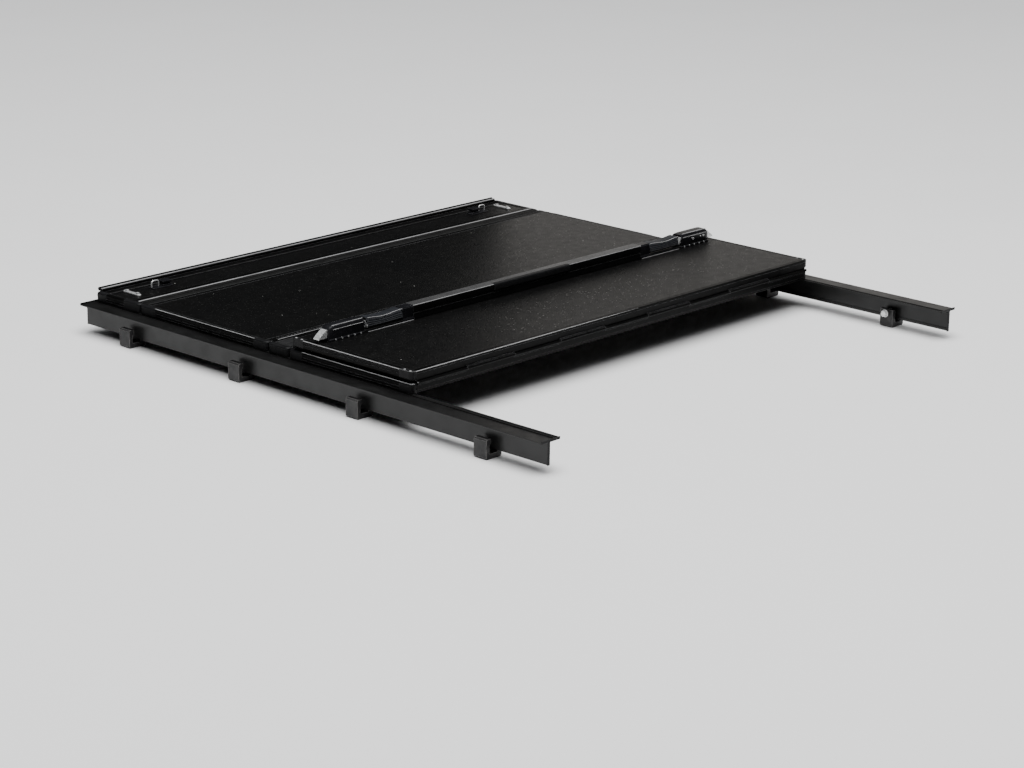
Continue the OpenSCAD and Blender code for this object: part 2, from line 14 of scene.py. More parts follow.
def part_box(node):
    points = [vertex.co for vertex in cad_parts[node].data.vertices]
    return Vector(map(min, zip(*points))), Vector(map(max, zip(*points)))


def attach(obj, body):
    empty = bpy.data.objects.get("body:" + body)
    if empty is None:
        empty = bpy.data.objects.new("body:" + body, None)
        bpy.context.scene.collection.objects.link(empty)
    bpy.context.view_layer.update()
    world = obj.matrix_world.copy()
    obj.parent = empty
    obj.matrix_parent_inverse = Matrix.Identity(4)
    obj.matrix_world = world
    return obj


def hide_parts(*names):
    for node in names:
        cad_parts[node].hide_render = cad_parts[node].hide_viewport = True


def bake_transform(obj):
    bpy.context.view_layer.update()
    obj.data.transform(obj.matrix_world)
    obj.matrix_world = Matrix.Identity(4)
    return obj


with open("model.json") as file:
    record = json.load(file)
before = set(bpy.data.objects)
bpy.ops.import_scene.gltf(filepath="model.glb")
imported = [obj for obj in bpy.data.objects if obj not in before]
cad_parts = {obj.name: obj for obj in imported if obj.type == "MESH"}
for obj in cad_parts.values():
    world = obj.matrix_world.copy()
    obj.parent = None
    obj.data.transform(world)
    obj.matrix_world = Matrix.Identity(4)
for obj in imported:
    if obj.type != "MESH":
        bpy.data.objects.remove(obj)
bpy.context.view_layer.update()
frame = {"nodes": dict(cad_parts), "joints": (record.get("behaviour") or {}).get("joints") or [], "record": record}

NODES = frame["nodes"]
JOINTS = {j["name"]: j for j in frame["joints"]}
MM = 0.001


# ------------------------------------------------------------------ node-graph helper
class Shader:
    """A material whose nodes are added one call at a time, in object coordinates."""

    def __init__(self, name):
        self.material = bpy.data.materials.new(name)
        self.material.use_nodes = True
        self.tree = self.material.node_tree
        self.bsdf = self.tree.nodes["Principled BSDF"]
        self.place = self.add("ShaderNodeTexCoord").outputs["Object"]

    def add(self, kind, **values):
        node = self.tree.nodes.new(kind)
        for key, value in values.items():
            if hasattr(node, key):
                setattr(node, key, value)
            else:
                node.inputs[key.replace("_", " ")].default_value = value
        return node

    def link(self, source, target):
        self.tree.links.new(source, target)

    def set(self, **values):
        """Sets the shader's own sockets, named in words joined by underscores."""
        for key, value in values.items():
            self.bsdf.inputs[key.replace("_", " ")].default_value = value
        return self

    def stretched(self, scale):
        """Object coordinates scaled per axis, for brushed or drawn surfaces."""
        mapping = self.add("ShaderNodeMapping")
        mapping.inputs["Scale"].default_value = scale
        self.link(self.place, mapping.inputs["Vector"])
        return mapping.outputs["Vector"]

    def noise(self, scale, detail=3.0, rough=0.55, place=None):
        node = self.add("ShaderNodeTexNoise")
        node.inputs["Scale"].default_value = scale
        node.inputs["Detail"].default_value = detail
        node.inputs["Roughness"].default_value = rough
        self.link(place or self.place, node.inputs["Vector"])
        return node.outputs["Fac"]

    def cells(self, scale, feature="F1", output="Distance", place=None):
        node = self.add("ShaderNodeTexVoronoi")
        node.feature = feature
        node.inputs["Scale"].default_value = scale
        self.link(place or self.place, node.inputs["Vector"])
        return node.outputs[output]

    def ramp(self, factor, stops):
        """Maps a 0..1 factor through (position, grey or colour) stops."""
        node = self.add("ShaderNodeValToRGB")
        while len(node.color_ramp.elements) < len(stops):
            node.color_ramp.elements.new(0.5)
        for element, (position, value) in zip(node.color_ramp.elements, stops):
            element.position = position
            colour = (value,) * 3 if isinstance(value, (int, float)) else value
            element.color = (*colour, 1.0)
        self.link(factor, node.inputs["Fac"])
        return node.outputs["Color"]

    def mix(self, factor, a, b):
        """Mixes two colours or links by a factor that is a link or a number."""
        node = self.add("ShaderNodeMix", data_type="RGBA")
        sockets = {s.identifier: s for s in node.inputs}
        for source, key in ((factor, "Factor_Float"), (a, "A_Color"), (b, "B_Color")):
            socket = sockets[key]
            if isinstance(source, bpy.types.NodeSocket):
                self.link(source, socket)
            elif isinstance(source, (int, float)):
                socket.default_value = source
            else:
                socket.default_value = (*source, 1.0)
        return next(s for s in node.outputs if s.identifier == "Result_Color")

    def maths(self, operation, a, b=0.0):
        node = self.add("ShaderNodeMath", operation=operation)
        for source, socket in ((a, node.inputs[0]), (b, node.inputs[1])):
            if isinstance(source, bpy.types.NodeSocket):
                self.link(source, socket)
            else:
                socket.default_value = source
        return node.outputs[0]

    def edge_wear_and_highlight(self, reach=0.0016):
        """1 on edges within reach metres of a corner, broken up by noise, 0 elsewhere; the materials paint these
        edges lighter, partly as rubbed edges and partly as painted highlight lines.
        """
        bevel = self.add("ShaderNodeBevel", samples=4)
        bevel.inputs["Radius"].default_value = reach
        flat = self.add("ShaderNodeNewGeometry").outputs["Normal"]
        dot = self.add("ShaderNodeVectorMath", operation="DOT_PRODUCT")
        self.link(bevel.outputs["Normal"], dot.inputs[0])
        self.link(flat, dot.inputs[1])
        edge = self.ramp(dot.outputs["Value"], [(0.90, 1.0), (0.995, 0.0)])
        return self.maths("MULTIPLY", edge, self.ramp(self.noise(60, 4), [(0.34, 0.25), (0.5, 1)]))

    def one_channel(self, colour):
        node = self.add("ShaderNodeSeparateColor")
        self.link(colour, node.inputs["Color"])
        return node.outputs["Red"]

    def bumps(self, *layers, rounding=0.0):
        """Stacks bump layers given as (height link, strength, distance in metres)."""
        normal = None
        if rounding:
            bevel = self.add("ShaderNodeBevel", samples=4)
            bevel.inputs["Radius"].default_value = rounding
            normal = bevel.outputs["Normal"]
        for height, strength, distance in layers:
            node = self.add("ShaderNodeBump")
            node.inputs["Strength"].default_value = strength
            node.inputs["Distance"].default_value = distance
            self.link(height, node.inputs["Height"])
            if normal:
                self.link(normal, node.inputs["Normal"])
            normal = node.outputs["Normal"]
        self.link(normal, self.bsdf.inputs["Normal"])

    def flatten(self, factor):
        """Takes the bumps away where factor is 1."""
        node = self.add("ShaderNodeMix", data_type="VECTOR")
        sockets = {s.identifier: s for s in node.inputs}
        self.link(factor, sockets["Factor_Float"])
        self.link(self.bsdf.inputs["Normal"].links[0].from_socket, sockets["A_Vector"])
        self.link(self.add("ShaderNodeNewGeometry").outputs["Normal"], sockets["B_Vector"])
        result = next(s for s in node.outputs if s.identifier == "Result_Vector")
        self.link(result, self.bsdf.inputs["Normal"])

    def colour(self, link):
        self.link(link, self.bsdf.inputs["Base Color"])

    def roughness(self, link):
        self.link(link, self.bsdf.inputs["Roughness"])


# ------------------------------------------------------------------ materials
def textured_skin():
    """Black laminate with a pebble grain, glossy flecks painted lighter than the skin as glints of the grain, and
    a few pale dust specks.
    """
    s = Shader("textured_skin")
    blotch = s.noise(6, 4, 0.6)
    base = s.mix(s.ramp(blotch, [(0.35, 0), (0.7, 1)]),
                 (0.0012, 0.0012, 0.0013), (0.0030, 0.0029, 0.0027))
    grain = s.cells(360)
    base = s.mix(s.ramp(grain, [(0.1, 0), (0.7, 0.6)]), base, (0.0012, 0.0012, 0.0012))
    lone = s.ramp(s.one_channel(s.cells(250, output="Color")), [(0.94, 0), (0.95, 1)])
    glint_fleck = s.maths("MULTIPLY", lone, s.ramp(s.cells(250), [(0.36, 1), (0.48, 0)]))
    glint_fleck = s.maths("MULTIPLY", glint_fleck, s.ramp(s.noise(6, 3), [(0.34, 0.35), (0.56, 1)]))
    # Flecks painted lighter than the skin: a painted glint of the grain, on top of their real gloss
    base = s.mix(glint_fleck, base, (0.022, 0.0215, 0.0205))
    dust = s.ramp(s.one_channel(s.cells(85, output="Color")), [(0.985, 0), (0.99, 1)])
    dust = s.maths("MULTIPLY", dust, s.ramp(s.cells(85), [(0.09, 1), (0.14, 0)]))
    s.colour(s.mix(dust, base, (0.5, 0.49, 0.46)))
    s.link(s.maths("ADD", 0.22, s.maths("MULTIPLY", glint_fleck, 0.36)), s.bsdf.inputs["Specular IOR Level"])
    satin = s.one_channel(s.ramp(s.noise(40, 3), [(0.3, 0.34), (0.7, 0.42)]))
    s.roughness(s.maths("SUBTRACT", satin, s.maths("MULTIPLY", glint_fleck, 0.26)))
    s.bumps((grain, 0.7, 0.0005), (s.noise(240, 4), 0.3, 0.0004), (s.noise(2.5, 2), 0.04, 0.004))
    s.flatten(glint_fleck)
    return s.material


def powder_coat(name, tone, rough=0.42):
    """Satin black powder coat on aluminium; its edges are painted pale and metallic, partly rubbed through and
    partly painted highlight lines.
    """
    s = Shader(name)
    base = s.mix(s.ramp(s.noise(14, 4), [(0.3, 0), (0.7, 1)]), (tone * 0.6,) * 3, (tone * 1.2,) * 3)
    rubbed_and_highlit = s.maths("MULTIPLY", s.edge_wear_and_highlight(0.0011), 0.35)
    s.colour(s.mix(rubbed_and_highlit, base, (0.36, 0.36, 0.37)))
    s.link(rubbed_and_highlit, s.bsdf.inputs["Metallic"])
    s.roughness(s.ramp(s.noise(60, 4), [(0.3, rough - 0.07), (0.7, rough + 0.08)]))
    s.bumps((s.noise(900, 3), 0.16, 0.0002), (s.noise(220, 3), 0.08, 0.0004), rounding=0.0012)
    s.set(Specular_IOR_Level=0.05)
    return s.material


def drawn_metal(name, tone, rough, axis, tint=(1, 1, 1), metallic=1.0):
    """Metal with fine lines drawn along one axis, smudged and lightly scratched."""
    s = Shader(name)
    stretch = tuple(12 if k == axis else 900 for k in range(3))
    lines = s.noise(1, 2, 0.5, s.stretched(stretch))
    cloud = s.noise(7, 4)
    dark = tuple(tone * 0.75 * t for t in tint)
    light = tuple(tone * 1.2 * t for t in tint)
    base = s.mix(s.ramp(cloud, [(0.3, 0), (0.7, 1)]), dark, light)
    s.colour(s.mix(s.maths("MULTIPLY", s.edge_wear_and_highlight(), 0.6), base, tuple(min(1.0, 2.2 * c) for c in light)))
    s.roughness(s.ramp(s.noise(30, 4), [(0.3, rough - 0.06), (0.7, rough + 0.1)]))
    s.bumps((lines, 0.10, 0.0003), rounding=0.0007)
    s.set(Metallic=metallic)
    return s.material


def zinc_plate():
    """Bright zinc plating with a crystalline mottle and dull spots."""
    s = Shader("zinc_plate")
    mottle = s.cells(240, output="Color")
    base = s.mix(s.ramp(mottle, [(0.2, 0), (0.8, 1)]), (0.56, 0.57, 0.58), (0.74, 0.74, 0.73))
    dull = s.ramp(s.noise(45, 5, 0.65), [(0.5, 0), (0.72, 1)])
    s.colour(s.mix(s.maths("MULTIPLY", dull, 0.5), base, (0.40, 0.39, 0.36)))
    s.roughness(s.ramp(s.noise(120, 4), [(0.3, 0.22), (0.75, 0.42)]))
    s.bumps((s.noise(500, 3), 0.1, 0.0002), rounding=0.0005)
    # Metallic below 1 shows the pale base colour as diffuse white on every zinc part: painted brightness standing
    # in for the glint on the latch bolt
    s.set(Metallic=0.6)
    return s.material


def grained_plastic(name, colour, rough, grain=1.0, scale=700):
    """Injection-moulded plastic with a spark-eroded grain; its edges are painted lighter, partly scuffed and
    partly painted highlight lines.
    """
    s = Shader(name)
    lighter = tuple(min(1.0, c * 1.6 + 0.001) for c in colour)
    base = s.mix(s.ramp(s.noise(20, 4), [(0.35, 0), (0.75, 1)]), colour, lighter)
    scuff_and_highlight = tuple(min(1.0, c * 2.5 + 0.09) for c in colour)
    s.colour(s.mix(s.maths("MULTIPLY", s.edge_wear_and_highlight(0.0013), 0.5), base, scuff_and_highlight))
    s.roughness(s.ramp(s.noise(80, 4), [(0.3, rough - 0.06), (0.7, rough + 0.09)]))
    s.set(Specular_IOR_Level=0.15)
    s.bumps((s.cells(scale), 0.22 * grain, 0.00025), (s.noise(scale * 1.6, 3), 0.12 * grain, 0.0002),
            rounding=0.0009)
    return s.material


def gloss_plastic():
    """Polished black plastic under a thin clear coat, with faint hairlines."""
    s = Shader("gloss_housing")
    base = s.mix(s.ramp(s.noise(16, 4), [(0.4, 0), (0.7, 1)]),
                 (0.006, 0.006, 0.007), (0.013, 0.013, 0.015))
    s.colour(s.mix(s.maths("MULTIPLY", s.edge_wear_and_highlight(), 0.4), base, (0.12, 0.12, 0.13)))
    hairs = s.noise(1, 2, 0.5, s.stretched((30, 700, 700)))
    s.roughness(s.ramp(s.noise(70, 4), [(0.35, 0.17), (0.75, 0.30)]))
    s.bumps((hairs, 0.04, 0.0002), rounding=0.0011)
    s.set(Coat_Weight=0.03, Coat_Roughness=0.14, Specular_IOR_Level=0.09)
    return s.material


def matte_rubber():
    """EPDM rubber with bloom, dust in the pores and a fine extruded grain."""
    s = Shader("black_rubber")
    bloom = s.ramp(s.noise(25, 5, 0.65), [(0.4, 0), (0.75, 1)])
    s.colour(s.mix(bloom, (0.004, 0.004, 0.004), (0.012, 0.012, 0.0115)))
    s.roughness(s.ramp(s.noise(120, 4), [(0.3, 0.66), (0.7, 0.86)]))
    s.bumps((s.noise(800, 4), 0.3, 0.0003), (s.noise(1, 2, 0.5, s.stretched((500, 20, 500))), 0.1, 0.0003),
            rounding=0.0008)
    s.set(Specular_IOR_Level=0.12)
    return s.material


def cast_metal():
    """Black coated casting: sand texture, parting marks and chipped edges."""
    s = Shader("cast_clamp")
    base = s.mix(s.ramp(s.noise(35, 5, 0.6), [(0.35, 0), (0.7, 1)]),
                 (0.014, 0.014, 0.015), (0.034, 0.033, 0.033))
    s.colour(s.mix(s.maths("MULTIPLY", s.edge_wear_and_highlight(0.0022), 0.7), base, (0.33, 0.32, 0.31)))
    s.roughness(s.ramp(s.noise(90, 4), [(0.3, 0.45), (0.7, 0.68)]))
    s.bumps((s.noise(260, 5, 0.65), 0.45, 0.0006), rounding=0.001)
    s.set(Metallic=0.2)
    return s.material


def foam_core():
    """Closed-cell rigid foam."""
    s = Shader("foam_core")
    s.colour(s.mix(s.noise(40, 4), (0.36, 0.33, 0.26), (0.46, 0.43, 0.35)))
    s.roughness(s.ramp(s.noise(60, 3), [(0.3, 0.8), (0.7, 0.95)]))
    s.bumps((s.cells(900), 0.5, 0.0005))
    return s.material


MATERIALS = {
    "textured_skin": textured_skin(),
    "frame_aluminium": powder_coat("frame_powder_coat", 0.003, 0.34),
    "rail_aluminium": drawn_metal("rail_anodised", 0.009, 0.34, 1, metallic=0.3),
    "hinge_grey": drawn_metal("hinge_anodised", 0.04, 0.40, 0, (1.0, 1.01, 1.03), 0.7),
    "foam_core": foam_core(),
    "black_plastic": grained_plastic("black_plastic", (0.005, 0.005, 0.0055), 0.46),
    "gloss_housing": gloss_plastic(),
    "slate_grip": grained_plastic("slate_grip", (0.011, 0.012, 0.0145), 0.46, 1.3, 500),
    "black_rubber": matte_rubber(),
    "zinc_steel": zinc_plate(),
    "cast_clamp": cast_metal(),
}
# Finishes for trims whose slot belongs to a duller material
# Pale bead finish: the trims given it paint highlight lines along black edges
HIGHLIGHT_BEAD = drawn_metal("painted_highlight_bead", 0.38, 0.36, 0, (1.0, 1.0, 1.01), 0.5)
# Lighter satin finish that paints the sheen on the latch bar's top
SHEEN_STRIP = drawn_metal("painted_sheen_strip", 0.06, 0.34, 0, (1.0, 1.0, 1.01), 0.3)


def dress_cad():
    """Gives every CAD node its finish; its mesh is left as packed."""
    for part in frame["record"]["subparts"]:
        piece = NODES[part["node"]]
        material = MATERIALS[part["material_slot"]]
        if not piece.material_slots:
            piece.data.materials.append(material)
        for slot in piece.material_slots:
            slot.link = "OBJECT"
            slot.material = material


# ------------------------------------------------------------------ shape helpers
class Shape:
    """Vertices and faces gathered from rings, then turned into one piece."""

    def __init__(self):
        self.verts = []
        self.faces = []

    def rings(self, rings, capped=True):
        """Joins rings of equal length, with a flat cap on each end."""
        start, n = len(self.verts), len(rings[0])
        self.verts += [Vector(p) for ring in rings for p in ring]
        for r in range(len(rings) - 1):
            for k in range(n):
                a = start + r * n + k
                b = start + r * n + (k + 1) % n
                self.faces.append((a, b, b + n, a + n))
        if capped:
            last = start + (len(rings) - 1) * n
            self.faces.append(tuple(range(start + n - 1, start - 1, -1)))
            self.faces.append(tuple(range(last, last + n)))
        return self

    def shell(self, outer, inner):
        """A sleeve between outer and inner rings, open through the middle."""
        return self.rings(list(outer) + list(reversed(inner)) + [outer[0]], capped=False)

    def extrude(self, outline, x0, x1):
        """Carries an outline of (y, z) points along X."""
        return self.rings([[(x, y, z) for y, z in outline] for x in (x0, x1)])

    def tube(self, path, radius, sides=14):
        """A round bar that follows a path of points."""
        path = [Vector(p) for p in path]
        rings, side = [], None
        for k, point in enumerate(path):
            ahead = (path[min(k + 1, len(path) - 1)] - path[max(k - 1, 0)]).normalized()
            side = side or ahead.orthogonal()
            side = (side - side.dot(ahead) * ahead).normalized()
            other = ahead.cross(side)
            r = radius[k] if isinstance(radius, list) else radius
            rings.append([point + r * (math.cos(t) * side + math.sin(t) * other)
                          for t in (2 * math.pi * i / sides for i in range(sides))])
        return self.rings(rings)

    def lathe(self, profile, base, axis, sides=24):
        """Turns (radius, distance, corners) stations about an axis; corners 0 is round."""
        axis = Vector(axis).normalized()
        side = axis.orthogonal().normalized()
        other = axis.cross(side)
        rings = []
        for radius, distance, corners in profile:
            ring = []
            for i in range(sides):
                t = 2 * math.pi * i / sides
                r = radius
                if corners:
                    half = math.pi / corners
                    r *= math.cos(half) / math.cos(t % (2 * half) - half)
                ring.append(Vector(base) + distance * axis + r * (math.cos(t) * side + math.sin(t) * other))
            rings.append(ring)
        return self.rings(rings)

    def add(self, other, flip_x=False):
        """Takes in another shape, mirrored across the bed if asked."""
        start = len(self.verts)
        sign = -1 if flip_x else 1
        self.verts += [Vector((sign * v.x, v.y, v.z)) for v in other.verts]
        self.faces += [tuple(start + i for i in face) for face in other.faces]
        return self

    def both_sides(self):
        return Shape().add(self).add(self, flip_x=True)

    def piece(self, name, slot, body, stands_for=(), bevel=0.0, angle=38, finish=None):
        """Makes the object, gives it its material and ties it to its CAD body."""
        bm = bmesh.new()
        made = [bm.verts.new(v) for v in self.verts]
        for face in self.faces:
            bm.faces.new([made[i] for i in face])
        bmesh.ops.remove_doubles(bm, verts=bm.verts, dist=1e-6)
        face_outward(bm)
        mesh = bpy.data.meshes.new(name)
        bm.to_mesh(mesh)
        bm.free()
        mesh.shade_smooth()
        mesh.set_sharp_from_angle(angle=math.radians(angle))
        mesh.materials.append(finish or MATERIALS[slot])
        obj = bpy.data.objects.new(name, mesh)
        bpy.context.scene.collection.objects.link(obj)
        if bevel:
            mod = obj.modifiers.new("edges", "BEVEL")
            mod.width = bevel
            mod.segments = 2
            mod.limit_method = "ANGLE"
            mod.angle_limit = math.radians(angle)
            mod.harden_normals = True
        if body:
            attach(obj, body)
        if stands_for:
            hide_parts(*stands_for)
        return obj


def face_outward(bm):
    """Turns each separate closed part of a mesh so that its faces look outward."""
    bmesh.ops.recalc_face_normals(bm, faces=bm.faces)
    waiting = set(bm.faces)
    while waiting:
        part, front = [], [waiting.pop()]
        while front:
            face = front.pop()
            part.append(face)
            beside = {other for edge in face.edges for other in edge.link_faces} & waiting
            waiting -= beside
            front += beside
        volume = 0.0
        for face in part:
            a, *rest = (v.co for v in face.verts)
            volume += sum(a.dot(b.cross(c)) for b, c in zip(rest, rest[1:]))
        if volume < 0:
            bmesh.ops.reverse_faces(bm, faces=part)


def arc(cy, cz, r, a0, a1, n):
    """Points (y, z) of an arc in degrees, both ends included."""
    return [(cy + r * math.cos(math.radians(a0 + (a1 - a0) * i / n)),
             cz + r * math.sin(math.radians(a0 + (a1 - a0) * i / n))) for i in range(n + 1)]


def rounded_box(y0, y1, z0, z1, low, high, n=4):
    """Outline in (y, z) with its own radius for the low and the high corners."""
    return (arc(y1 - low, z0 + low, low, -90, 0, n) + arc(y1 - high, z1 - high, high, 0, 90, n)
            + arc(y0 + high, z1 - high, high, 90, 180, n) + arc(y0 + low, z0 + low, low, 180, 270, n))


def ring_inside(outline, cy, cz, half_y, half_z):
    """For every outline point, the point in the same direction on a smaller box."""
    points = []
    for y, z in outline:
        dy, dz = y - cy, z - cz
        scale = min(half_y / max(abs(dy), 1e-9), half_z / max(abs(dz), 1e-9))
        points.append((cy + dy * scale, cz + dz * scale))
    return points


def at_x(x, outline):
    return [(x, y, z) for y, z in outline]


# ------------------------------------------------------------------ latch bar
def low(node):
    """The low corner of a CAD node's box."""
    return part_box(node)[0]


def high(node):
    """The high corner of a CAD node's box."""
    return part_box(node)[1]


UPTURNED = high("rear_bottom_skin")[2]      # top of the folded stack
BAR_TOP = high("latch_bar")[2]
BAR_NEAR = low("latch_bar")[1]
BAR_FAR = high("latch_bar")[1]
BAR_MID = (BAR_NEAR + BAR_FAR) / 2
CENTRE_COVER_HALF = 138 * MM     # half the length of the cover at the bar's middle


def make_latch_bar():
    """Middle bar with a stepped foot, side grooves and fine grooves along its top."""
    near, far, top, foot = BAR_NEAR, BAR_FAR, BAR_TOP, UPTURNED
    side = [(near, foot), (near, foot + 4 * MM), (near + 2 * MM, foot + 7 * MM),
            (near + 2 * MM, foot + 15 * MM), (near + 3.2 * MM, foot + 16 * MM),
            (near + 3.2 * MM, foot + 18 * MM), (near + 2 * MM, foot + 19 * MM)]
    crown = arc(near + 5.5 * MM, top - 3.5 * MM, 3.5 * MM, 180, 90, 5)
    rows = []
    for k in range(4):
        y = near + (11 + 3.6 * k) * MM
        rows += [(y, top), (y + 0.5 * MM, top - 0.9 * MM), (y + 1.4 * MM, top - 0.9 * MM), (y + 1.9 * MM, top)]
    far_crown = arc(far - 5.5 * MM, top - 3.5 * MM, 3.5 * MM, 90, 0, 5)
    far_side = [(near + far - y, z) for y, z in reversed(side)]
    outline = side + crown + rows + far_crown + far_side
    x = high("latch_bar")[0]
    Shape().extrude(outline, -x, x).piece("latch_bar_extrusion", "frame_aluminium", "rear_panel",
                                          ["latch_bar"], bevel=0.0004)


def make_housings():
    """Polished housings with a rolled crown, a rounded outer end and an open bolt tunnel."""
    inner = low("latch_housing_right")[0]
    pocket_z = (low("latch_bolt_right")[2] + high("latch_bolt_right")[2]) / 2
    stations = [(0, 0.0, 0.5), (1.5, 0.0, 0.0), (10, 1.5, 0.0), (30, 1.5, 0.0), (80, 1.5, 0.0),
                (94, 1.5, 0.0), (100, 1.0, 0.2), (105, -0.9, 0.8), (109, -4.0, 1.6), (111.2, -6.8, 2.6),
                (112, -9.4, 3.4)]
    for side, name in ((-1, "left"), (1, "right")):
        rings, tunnel = [], []
        for along, rise, tuck in stations:
            x = side * (inner + along * MM)
            outline = rounded_box(BAR_NEAR + (1 + tuck) * MM, BAR_FAR - (1 + tuck) * MM, UPTURNED,
                                  BAR_TOP + rise * MM, 1 * MM, 6.5 * MM, 6)
            rings.append(at_x(x, outline))
            tunnel.append(at_x(x, ring_inside(outline, BAR_MID, pocket_z, 10.2 * MM, 10.7 * MM)))
        shape = Shape().shell(rings, tunnel)
        # Foot flange along both sides
        for y0, y1 in ((BAR_NEAR, BAR_NEAR + 3 * MM), (BAR_FAR - 3 * MM, BAR_FAR)):
            shape.rings([at_x(side * (inner + a * MM), rounded_box(y0, y1, UPTURNED, UPTURNED + 4.5 * MM,
                                                                   0.3 * MM, 1.2 * MM, 3))
                         for a in (0.5, 110)])
        shape.piece(f"latch_housing_shell_{name}", "gloss_housing", "rear_panel", [f"latch_housing_{name}"])
    # Three screw heads, on the right housing only, as the photograph shows
    heads = Shape()
    for along, rise, size in ((48, 18, 3.4), (78, 20, 2.6), (90, 20, 3.4)):
        place = (inner + along * MM, BAR_NEAR + 1 * MM, UPTURNED + rise * MM)
        screw(heads, place, (0, -1, 0), size * MM, 1.3 * MM)
    heads.piece("housing_face_screws", "zinc_steel", "rear_panel")


def paddle_dip(f):
    """How far the paddle's top sinks at the fraction f of its length from the bar."""
    return 5.5 * MM * math.sin(math.pi * f) ** 2 * (0.4 + 0.6 * f)


def make_paddles():
    """Curved release paddles: a dipped grip with ribs along it, over a pivot barrel."""
    inner, outer = low("paddle_right")[0], high("paddle_right")[0]
    pivot = Vector(JOINTS["right_paddle_pull"]["pos_m"])
    count = 17
    for side, name in ((-1, "left"), (1, "right")):
        rings = []
        for k in range(count):
            f = k / (count - 1)
            x = side * (inner + f * (outer - inner))
            rings.append(at_x(x, paddle_outline(paddle_dip(f))))
        shape = Shape().rings(rings)
        barrel = [(5.4 * MM, 0, 0), (5.4 * MM, outer - inner, 0)]
        shape.lathe(barrel, (side * inner, pivot.y, pivot.z), (side, 0, 0), 20)
        for a, b in ((0.0, 6.0), (54, 60), (108, 114)):
            web = [(pivot.y - 3 * MM, pivot.z), (pivot.y + 4 * MM, pivot.z),
                   (pivot.y + 9 * MM, pivot.z + 13 * MM), (pivot.y - 2 * MM, pivot.z + 13 * MM)]
            shape.rings([at_x(side * (inner + v * MM), web) for v in (a, b)])
        shape.piece(f"release_paddle_{name}", "slate_grip", f"{name}_paddle", [f"paddle_{name}"])
        # A pale bead along each paddle's top edge paints the highlight line there
        line = []
        for k in range(count):
            f = k / (count - 1)
            x = side * (inner + f * (outer - inner))
            line.append((x, BAR_NEAR + 3.6 * MM, BAR_TOP - 2.0 * MM - paddle_dip(f)))
        edge = Shape().tube(line, 0.9 * MM, 10)
        edge.piece(f"paddle_highlight_bead_{name}", "hinge_grey", f"{name}_paddle", angle=60, finish=HIGHLIGHT_BEAD)


def make_paddle_bases():
    """Dark base under each paddle, from the bar's end block to the housing."""
    inner, outer = low("paddle_right")[0] - 1 * MM, low("latch_housing_right")[0]
    side = [(BAR_NEAR + 1.2 * MM, UPTURNED), (BAR_NEAR + 1.2 * MM, UPTURNED + 5 * MM),
            (BAR_NEAR + 3.4 * MM, UPTURNED + 7 * MM)]
    far = [(BAR_NEAR + BAR_FAR - y, z) for y, z in reversed(side)]
    Shape().extrude(side + far, inner, outer).both_sides().piece("paddle_bases", "black_plastic", "rear_panel",
                                                                 bevel=0.0003)


def paddle_outline(dip):
    """Shell section in (y, z): ribbed near face, rolled top and a turned-down far lip."""
    near, far, top = BAR_NEAR + 1.2 * MM, BAR_FAR - 1 * MM, BAR_TOP - 1.5 * MM - dip
    face_low = UPTURNED + 12 * MM
    outer, rows = [], 4
    for k in range(rows):
        for step, out in ((0.0, 0), (0.25, 1.6), (0.6, 1.6), (0.85, 0)):
            f = (k + step) / rows
            outer.append((near + (6 * f ** 2 - out) * MM, face_low + f * (top - 4 * MM - face_low)))
    outer += arc(near + 10 * MM, top - 4 * MM, 4 * MM, 180, 90, 4)[1:]
    outer += arc(far - 4 * MM, top - 4 * MM, 4 * MM, 90, 0, 4) + [(far, top - 12 * MM)]
    inner = [(far - 2.6 * MM, top - 12 * MM), (far - 2.8 * MM, top - 4 * MM), (far - 5 * MM, top - 3 * MM),
             (near + 11 * MM, top - 3 * MM), (near + 9.5 * MM, top - 6 * MM), (near + 3 * MM, face_low)]
    return outer + inner


def make_release_cranks():
    """Bright cranks on the outer end of each paddle, in the gap before the housing."""
    inner, outer = high("paddle_right")[0], low("latch_housing_right")[0]
    pivot = Vector(JOINTS["right_paddle_pull"]["pos_m"])
    gap = outer - inner
    near, far, thick = BAR_NEAR + 1.0 * MM, BAR_NEAR + 9 * MM, 1.5 * MM     # thick is half the strap
    path = [(0.12, -3), (0.2, -1), (0.72, 13), (0.8, 15)]
    for side, name in ((-1, "left"), (1, "right")):
        rings = []
        for f, rise in path:
            x, z = inner + f * gap, pivot.z + rise * MM
            rings.append([(side * (x + dx), y, z) for dx, y in
                          ((-thick, near), (thick, near), (thick, far), (-thick, far))])
        shape = Shape().rings(rings)
        boss = [(4.6 * MM, 0, 0), (4.6 * MM, 0.3 * gap, 0), (2.6 * MM, 0.34 * gap, 0),
                (2.6 * MM, 0.55 * gap, 0)]
        shape.lathe(boss, (side * inner, pivot.y, pivot.z), (side, 0, 0), 20)
        shape.piece(f"release_crank_{name}", "zinc_steel", f"{name}_paddle", bevel=0.0003)


# ------------------------------------------------------------------ header and rails
def bead(shape, y, z, r, half):
    """A low half-round moulding across the bed."""
    outline = [(y + r, z - 0.3 * MM)] + arc(y, z, r, 0, 180, 8) + [(y - r, z - 0.3 * MM)]
    shape.rings([[(x, py, pz) for py, pz in outline] for x in (-half, half)])


HINGE_WEB_HALF = 18.5 * MM     # half the flat width of the web over the header hinge


